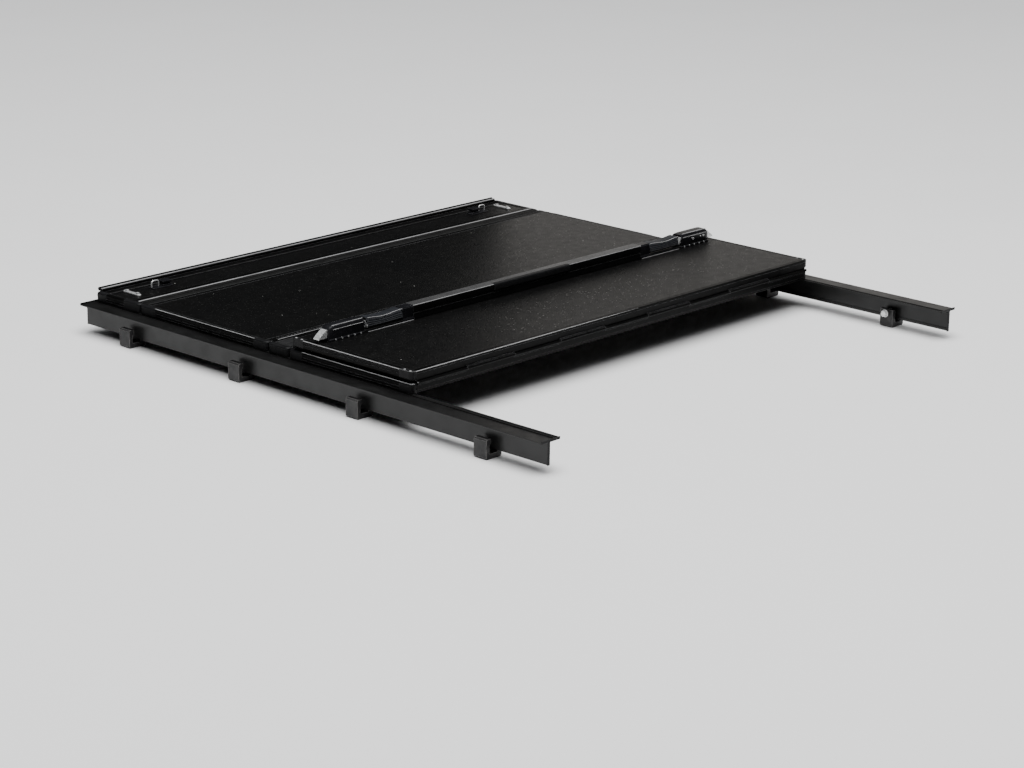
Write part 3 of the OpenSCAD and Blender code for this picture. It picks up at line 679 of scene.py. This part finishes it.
def make_hinge_cover():
    """Rubber web over the header hinge, between two beads: a pale front one and a thin metal rear one."""
    axis = Vector(JOINTS["header_hinge"]["pos_m"])
    y_front = axis.y + HINGE_WEB_HALF
    y_rear = axis.y - HINGE_WEB_HALF
    z = high("front_top_skin")[2]
    half = high("front_lead_frame")[0]
    count = 20
    ys = [y_front + (y_rear - y_front) * k / count for k in range(count + 1)]
    outline = [(y, z + 1.0 * MM) for y in ys] + [(y, z + 0.15 * MM) for y in reversed(ys)]
    web = Shape().extrude(outline, -half, half).piece("hinge_cover", "black_rubber", None, angle=50)
    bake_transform(web)
    # The front bead's pale finish paints the highlight line along the hinge's front edge; the rear bead keeps the
    # plain hinge metal
    for name, y, r, body, finish in (("front", y_front, 2.4 * MM, "rails_and_header", HIGHLIGHT_BEAD),
                                     ("rear", y_rear, 1.0 * MM, "front_panel", None)):
        shape = Shape()
        bead(shape, y, z + 0.2 * MM, r, half)
        shape.piece(f"hinge_bead_{name}", "hinge_grey", body, angle=60, finish=finish)


def make_header_trims():
    """A pale bead on the raised lip that paints its highlight line, and a fine one along the rear of the front
    bar.
    """
    lip, inner = high("header_front_bar"), low("header_front_bar")
    half = high("header_front_bar")[0]
    shape = Shape()
    y, z = lip[1] - 6.5 * MM, lip[2] - 0.8 * MM
    shape.tube([(-half, y, z), (half, y, z)], 2.1 * MM)
    shape.piece("header_lip_highlight_bead", "hinge_grey", "rails_and_header", angle=60, finish=HIGHLIGHT_BEAD)
    shape = Shape()
    bead(shape, inner[1] + 2 * MM, high("front_top_skin")[2] - 0.2 * MM, 0.9 * MM, half)
    shape.piece("header_inner_bead", "hinge_grey", "rails_and_header", angle=60)
    r = 4.6 * MM
    y, z = high("header_seal")[1] - r, lip[2] - 2 * MM
    bulb = Shape().tube([(-half, y, z), (half, y, z)], r, 20)
    bulb.piece("header_bulb_seal", "black_rubber", "rails_and_header", angle=60)


def make_link_leaf():
    """Strip of the link's leaf along the rear edge of the front panel, in a pale finish that paints its highlight
    line.
    """
    edge, half = low("front_trail_frame"), high("front_trail_frame")[0]
    z = high("front_top_skin")[2]
    leaf = Shape().extrude(rounded_box(edge[1] + 0.6 * MM, edge[1] + 9.5 * MM, z - 0.5 * MM, z + 1.3 * MM,
                                       0.2 * MM, 0.7 * MM), -half + 18 * MM, half - 18 * MM)
    leaf.piece("link_leaf_highlight_strip", "hinge_grey", "front_panel", finish=HIGHLIGHT_BEAD)


def make_bar_top_strips():
    """Four satin strips along the top of the latch bar, in a lighter finish that paints the sheen on the bar's
    top.
    """
    x = high("latch_bar")[0]
    rows = Shape()
    for k in range(4):
        y = BAR_NEAR + (4.5 + 6.6 * k) * MM
        rows.extrude(rounded_box(y, y + 5.6 * MM, BAR_TOP - 0.3 * MM, BAR_TOP + 0.8 * MM, 0.1 * MM, 0.4 * MM),
                     -x, x)
    rows.piece("latch_bar_top_strips", "frame_aluminium", "rear_panel", finish=SHEEN_STRIP)


def make_bar_edge_bead():
    """Pale beads that paint highlight lines on the near side: bar edge, two on each housing and a foot line under
    each paddle.
    """
    x = high("latch_bar")[0]
    y, z = BAR_NEAR + 3.2 * MM, BAR_TOP - 0.9 * MM
    inner, outer = low("latch_housing_right")[0] + 4 * MM, high("latch_housing_right")[0] - 12 * MM
    foot_y, foot_z = BAR_NEAR - 0.6 * MM, UPTURNED + 0.6 * MM
    line = Shape()
    for x0, x1, line_y, line_z, radius in (
            (CENTRE_COVER_HALF, x, y, z, 1.1),
            (inner, outer, y + 1 * MM, z + 1.9 * MM, 1.3),
            (inner, outer, BAR_NEAR + 0.6 * MM, z - 7 * MM, 0.7),
            (x + 2 * MM, high("paddle_right")[0], foot_y, foot_z, 0.8)):
        line.add(Shape().tube([(x0, line_y, line_z), (x1, line_y, line_z)], radius * MM, 10).both_sides())
    line.piece("latch_bar_highlight_beads", "hinge_grey", "rear_panel", angle=60, finish=HIGHLIGHT_BEAD)


def make_centre_cover():
    """Thin dark cover that hugs the near upper edge of the bar at its middle."""
    hug = [(BAR_NEAR - 0.6 * MM, BAR_TOP - 14 * MM), (BAR_NEAR - 0.6 * MM, BAR_TOP - 3 * MM)]
    hug += arc(BAR_NEAR + 3.4 * MM, BAR_TOP - 3 * MM, 4 * MM, 180, 90, 5)[1:]
    hug += [(BAR_NEAR + 12 * MM, BAR_TOP + 1 * MM), (BAR_NEAR + 12 * MM, BAR_TOP - 0.5 * MM),
            (BAR_NEAR + 4 * MM, BAR_TOP - 0.5 * MM), (BAR_NEAR + 1 * MM, BAR_TOP - 4 * MM),
            (BAR_NEAR + 1 * MM, BAR_TOP - 14 * MM)]
    cover = Shape().extrude(hug, -CENTRE_COVER_HALF, CENTRE_COVER_HALF)
    cover.piece("latch_bar_centre_cover", "black_plastic", "rear_panel", bevel=0.0003)


CORNER_TURN = 11 * MM                    # radius of the panels' corners
BEAD_THICK, BEAD_THIN = 1.1, 0.45        # radii of the rear bead at the left and the right, in mm; the thinning paints its highlight dimmer on the right
FADE_START, FADE_LENGTH, FADE_STEPS = -0.35, 0.6, 12
BEADED_PANELS = (  # body, node, inset and drop in mm, how far the bead runs
    ("front", "front_side_frames", 2.5, 0.7, "sides"),
    ("middle", "middle_side_frames", 2.5, 0.7, "corners"),
    ("rear", "rear_side_frames", 1.1, 1.0, "all round"))


def make_edge_beads():
    """Pale beads on the outer edges of the panels, on the faces that show when folded; they paint the highlight
    lines along those edges.

    The rear panel's bead thins from left to right, as the photograph's bright line does, so its painted highlight
    fades towards the right.
    """
    for body, node, inset, drop, reach in BEADED_PANELS:
        lo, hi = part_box(node)
        x, z = hi[0] - inset * MM, hi[2] - drop * MM
        path = [(-x, hi[1], z), (-x, lo[1], z)]
        if reach != "sides":
            rear, r = low(f"{body}_corner_caps")[1] + inset * MM, CORNER_TURN - inset * MM
            path[1] = (-x, rear + r, z)
            path += [(-x + r * (1 - math.cos(t)), rear + r * (1 - math.sin(t)), z)
                     for t in (math.radians(a) for a in range(15, 91, 15))]
        if reach == "all round":
            shape = fading_bead(path, z)
        else:
            shape = Shape().tube(path, 1.05 * MM, 10).both_sides()
        shape.piece(f"edge_bead_{body}", "hinge_grey", f"{body}_panel", angle=60, finish=HIGHLIGHT_BEAD)


def fading_bead(path, z):
    """Carries the left half's path across the rear edge to its mirror image, thinning on the way so that the
    painted highlight dims.
    """
    far_half = [(-px, py, pz) for px, py, pz in reversed(path)]
    steps = range(FADE_STEPS + 1)
    fade = [(FADE_START + FADE_LENGTH * k / FADE_STEPS, path[-1][1], z) for k in steps]
    radii = [BEAD_THICK] * len(path)
    radii += [BEAD_THICK + (BEAD_THIN - BEAD_THICK) * k / FADE_STEPS for k in steps]
    radii += [BEAD_THIN] * len(far_half)
    return Shape().tube(path + fade + far_half, [r * MM for r in radii], 12)


CLAMP_HALF = 19 * MM     # half a clamp's length along the rail


def clamp_stations():
    """The y of the middle of each of the four clamps on a rail."""
    first, last = low("clamp_bodies")[1] + CLAMP_HALF, high("clamp_bodies")[1] - CLAMP_HALF
    return [first + (last - first) * k / 3 for k in range(4)]


def make_clamp_bolts():
    """Hex bolts with a washer, a cut thread and a swivel pad."""
    outer = high("clamp_bolts")[0]
    z = (low("clamp_bolts")[2] + high("clamp_bolts")[2]) / 2
    shape = Shape()
    for y in clamp_stations():
        head = [(7.6, 0, 6), (8.6, 0.8, 6), (8.6, 7, 6), (9.2, 7, 0), (10, 7.3, 0), (10, 8.3, 0),
                (9.4, 8.6, 0), (4.7, 8.6, 0)]
        thread = []
        for k in range(18):
            thread += [(4.3, 8.8 + k * 1.2, 0), (4.95, 9.4 + k * 1.2, 0)]
        pad = [(4.3, 30.6, 0), (8.4, 31.0, 0), (9, 31.6, 0), (9, 34.2, 0), (8.2, 35, 0)]
        profile = [(r * MM, d * MM, c) for r, d, c in head + thread + pad]
        shape.lathe(profile, (outer - 35 * MM, y, z), (1, 0, 0))
    shape.both_sides().piece("clamp_set_bolts", "zinc_steel", "rails_and_header", ["clamp_bolts"], angle=30)


def screw(shape, place, axis, radius, height):
    """A domed button head with a hexagon socket."""
    r, h = radius, height
    shape.lathe([(r * 0.97, 0, 0), (r, h * 0.2, 0), (r * 0.93, h * 0.62, 0), (r * 0.72, h * 0.93, 0),
                 (r * 0.56, h, 0), (r * 0.5, h, 6), (r * 0.46, h * 0.45, 6)], place, axis, 24)


def make_cap_screws():
    """Small screws that hold the corner caps, on the face that turns down when closed."""
    half = high("front_side_frames")[0] - 7 * MM
    for body, node, up in (("rear_panel", "rear_corner_caps", 1), ("middle_panel", "middle_corner_caps", -1),
                           ("front_panel", "front_corner_caps", -1)):
        lo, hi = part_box(node)
        z = hi[2] if up > 0 else lo[2]
        shape = Shape()
        for y in (lo[1] + 12 * MM, lo[1] + 30 * MM, hi[1] - 12 * MM, hi[1] - 30 * MM):
            screw(shape, (half, y, z - up * 0.5 * MM), (0, 0, up), 3.4 * MM, 0.8 * MM)
        shape.both_sides().piece(f"cap_screws_{body}", "zinc_steel", body)


def make_hold_downs():
    """Polished bars with round ends on the header."""
    lo, hi = low("hold_down_bars"), high("hold_down_bars")
    x = hi[0] - 6 * MM
    rings = []
    for k in range(13):
        f = -1 + 2 * k / 12
        y = (lo[1] + hi[1]) / 2 + f * (hi[1] - lo[1]) / 2
        wide = 6 * MM * math.sqrt(max(0.02, 1 - max(0, (abs(f) - 0.82) / 0.18) ** 2))
        rings.append([(x + wide * a, y, hi[2] - b * MM) for a, b in
                      ((-1, 4), (1, 4), (1, 1.2), (0.75, 0.3), (0, 0), (-0.75, 0.3), (-1, 1.2))])
    Shape().rings(rings).both_sides().piece("hold_down_plates", "zinc_steel", "rails_and_header",
                                            ["hold_down_bars"], angle=50)


def make_anchor_loops():
    """Strap anchors' bent wire loops."""
    lo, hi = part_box("anchor_loops")
    y, r = (lo[1] + hi[1]) / 2, 2 * MM
    x0, x1, top = hi[0] - 24 * MM, hi[0] - 2 * MM, hi[2] - r
    path = [(x0, y, lo[2]), (x0, y, top - 6 * MM)]
    path += [(x0 + 6 * MM * (1 - math.cos(t)), y, top - 6 * MM + 6 * MM * math.sin(t))
             for t in (math.radians(a) for a in range(15, 91, 15))]
    path += [(x1 - 6 * MM * (1 - math.cos(t)), y, top - 6 * MM + 6 * MM * math.sin(t))
             for t in (math.radians(a) for a in range(90, 0, -15))]
    path += [(x1, y, top - 6 * MM), (x1, y, lo[2])]
    loops = Shape().tube(path, r).both_sides()
    loops.piece("anchor_wire_loops", "zinc_steel", "rails_and_header", ["anchor_loops"])


def make_anchor_buckles():
    """Strap anchors' moulded boxes: a foot plate and a waisted block."""
    lo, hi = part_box("anchor_loops")
    base_low, base_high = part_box("anchor_boxes")
    y, cx = (lo[1] + hi[1]) / 2, base_high[0] - 32 * MM
    foot_top = base_low[2] + 2.5 * MM
    shape = Shape()
    rings = []
    for a, t in ((-32, 2.5), (-30.5, 0.8), (-28, 0), (28, 0), (30.5, 0.8), (32, 2.5)):
        outline = rounded_box(y - 13 * MM + t * MM, y + 13 * MM - t * MM, base_low[2], foot_top,
                              0.4 * MM, 1 * MM, 3)
        rings.append(at_x(cx + a * MM, outline))
    shape.rings(rings)
    for z0, z1, grow in ((foot_top, foot_top + 4 * MM, 0), (foot_top + 8 * MM, base_high[2], 0),
                         (foot_top + 4 * MM, foot_top + 8 * MM, -3)):
        rings = []
        for a, t in ((-14 - grow, 2), (-12.5 - grow, 0.4), (-10, 0), (10, 0), (12.5 + grow, 0.4),
                     (14 + grow, 2)):
            outline = rounded_box(y - (11 + grow - t) * MM, y + (11 + grow - t) * MM, z0, z1,
                                  0.5 * MM, 1.2 * MM, 3)
            rings.append(at_x(cx - 14 * MM + a * MM, outline))
        shape.rings(rings)
    shape.both_sides().piece("anchor_buckles", "gloss_housing", "rails_and_header", ["anchor_boxes"])


# ------------------------------------------------------------------ stage
def floor_material():
    s = Shader("studio_floor")
    s.colour(s.mix(s.noise(0.8, 3), (0.93, 0.93, 0.925), (0.95, 0.95, 0.945)))
    s.roughness(s.ramp(s.noise(3, 3), [(0.3, 0.7), (0.7, 0.8)]))
    return s.material


FLOOR_HALF = 40           # metres from the middle to each side
FLOOR_Z = -0.0005         # just under the part, so the two surfaces don't flicker


def make_floor():
    half, z = FLOOR_HALF, FLOOR_Z
    mesh = bpy.data.meshes.new("studio_floor")
    mesh.from_pydata([(-half, -half, z), (half, -half, z), (half, half, z), (-half, half, z)],
                     [], [(0, 1, 2, 3)])
    floor = bpy.data.objects.new("studio_floor", mesh)
    floor.data.materials.append(floor_material())
    bpy.context.scene.collection.objects.link(floor)


def make_world():
    """Light that comes mostly from above; the camera sees an even pale backdrop instead."""
    world = bpy.data.worlds.new("studio")
    world.use_nodes = True
    bpy.context.scene.world = world
    tree = world.node_tree
    back = tree.nodes["Background"]
    back.inputs["Color"].default_value = (0.92, 0.95, 1.0, 1)
    place = tree.nodes.new("ShaderNodeTexCoord").outputs["Generated"]
    split = tree.nodes.new("ShaderNodeSeparateXYZ")
    tree.links.new(place, split.inputs[0])
    ramp = tree.nodes.new("ShaderNodeValToRGB")
    ramp.color_ramp.elements[0].position = 0.62
    ramp.color_ramp.elements[0].color = (0.012, 0.012, 0.012, 1)
    ramp.color_ramp.elements[1].position = 0.95
    ramp.color_ramp.elements[1].color = (0.5, 0.5, 0.5, 1)
    tree.links.new(split.outputs["Z"], ramp.inputs["Fac"])
    seen = tree.nodes.new("ShaderNodeMix")
    tree.links.new(tree.nodes.new("ShaderNodeLightPath").outputs["Is Camera Ray"], seen.inputs["Factor"])
    tree.links.new(ramp.outputs["Color"], seen.inputs["A"])
    seen.inputs["B"].default_value = 0.75
    tree.links.new(seen.outputs["Result"], back.inputs["Strength"])


def backdrop_light(name, edge, azimuth, size, base, power, colour):
    """An upright panel beyond the header that only shows as a reflection; edge is its left side."""
    a = math.radians(azimuth)
    wide, tall = size
    middle = Vector((edge[0] + math.cos(a) * wide / 2, edge[1] - math.sin(a) * wide / 2, base + tall / 2))
    facing = Vector((-math.sin(a), -math.cos(a), 0))
    panel = area_light(name, middle, middle + facing, size, power, colour)
    panel.visible_diffuse = False
    panel.visible_camera = False


def area_light(name, place, target, size, power, colour=(1, 1, 1)):
    light = bpy.data.lights.new(name, "AREA")
    light.shape = "RECTANGLE"
    light.size, light.size_y = size
    light.energy = power
    light.color = colour
    piece = bpy.data.objects.new(name, light)
    piece.location = place
    piece.rotation_euler = (Vector(target) - Vector(place)).to_track_quat("-Z", "Y").to_euler()
    bpy.context.scene.collection.objects.link(piece)
    return piece


def sky_light(strength, spread):
    """Even light from straight above, so the floor stays pale out to the horizon."""
    light = bpy.data.lights.new("ceiling", "SUN")
    light.energy = strength
    light.angle = math.radians(spread)
    bpy.context.scene.collection.objects.link(bpy.data.objects.new("ceiling", light))


CAMERA_PLACE = (-4.824, -4.441, 1.877)
CAMERA_TURN = (17.01, 47.22, 0.786)     # pitch down, heading from +Y towards +X, and roll, in degrees
CAMERA_LENS = 95.85                     # mm, on a sensor 36 mm wide


def make_camera():
    """The photograph's viewpoint: behind and left of the bed, looking down 17 degrees."""
    pitch, yaw, roll = (math.radians(v) for v in CAMERA_TURN)
    ahead = Vector((math.sin(yaw) * math.cos(pitch), math.cos(yaw) * math.cos(pitch), -math.sin(pitch)))
    right = Vector((math.cos(yaw), -math.sin(yaw), 0))
    up = right.cross(ahead)
    right, up = (math.cos(roll) * right + math.sin(roll) * up,
                 -math.sin(roll) * right + math.cos(roll) * up)
    data = bpy.data.cameras.new("camera")
    data.sensor_width = 36
    data.lens = CAMERA_LENS
    data.clip_end = 200
    camera = bpy.data.objects.new("camera", data)
    turn = Matrix((right, up, -ahead)).transposed().to_4x4()
    camera.matrix_world = Matrix.Translation(CAMERA_PLACE) @ turn
    bpy.context.scene.collection.objects.link(camera)
    bpy.context.scene.camera = camera


dress_cad()
make_latch_bar()
make_housings()
make_paddles()
make_paddle_bases()
make_release_cranks()
make_hinge_cover()
make_header_trims()
make_link_leaf()
make_bar_top_strips()
make_bar_edge_bead()
make_centre_cover()
make_edge_beads()
make_clamp_bolts()
make_cap_screws()
make_hold_downs()
make_anchor_loops()
make_anchor_buckles()
make_floor()
make_world()
area_light("overhead", (-0.8, -1.2, 7.0), (0, 0, 0), (6, 6), 700)
sky_light(1.35, 50)
backdrop_light("right_panel", (1.0, 1.0), 50, (2.2, 1.1), 0.1, 4.3, (1.0, 0.96, 0.91))
make_camera()
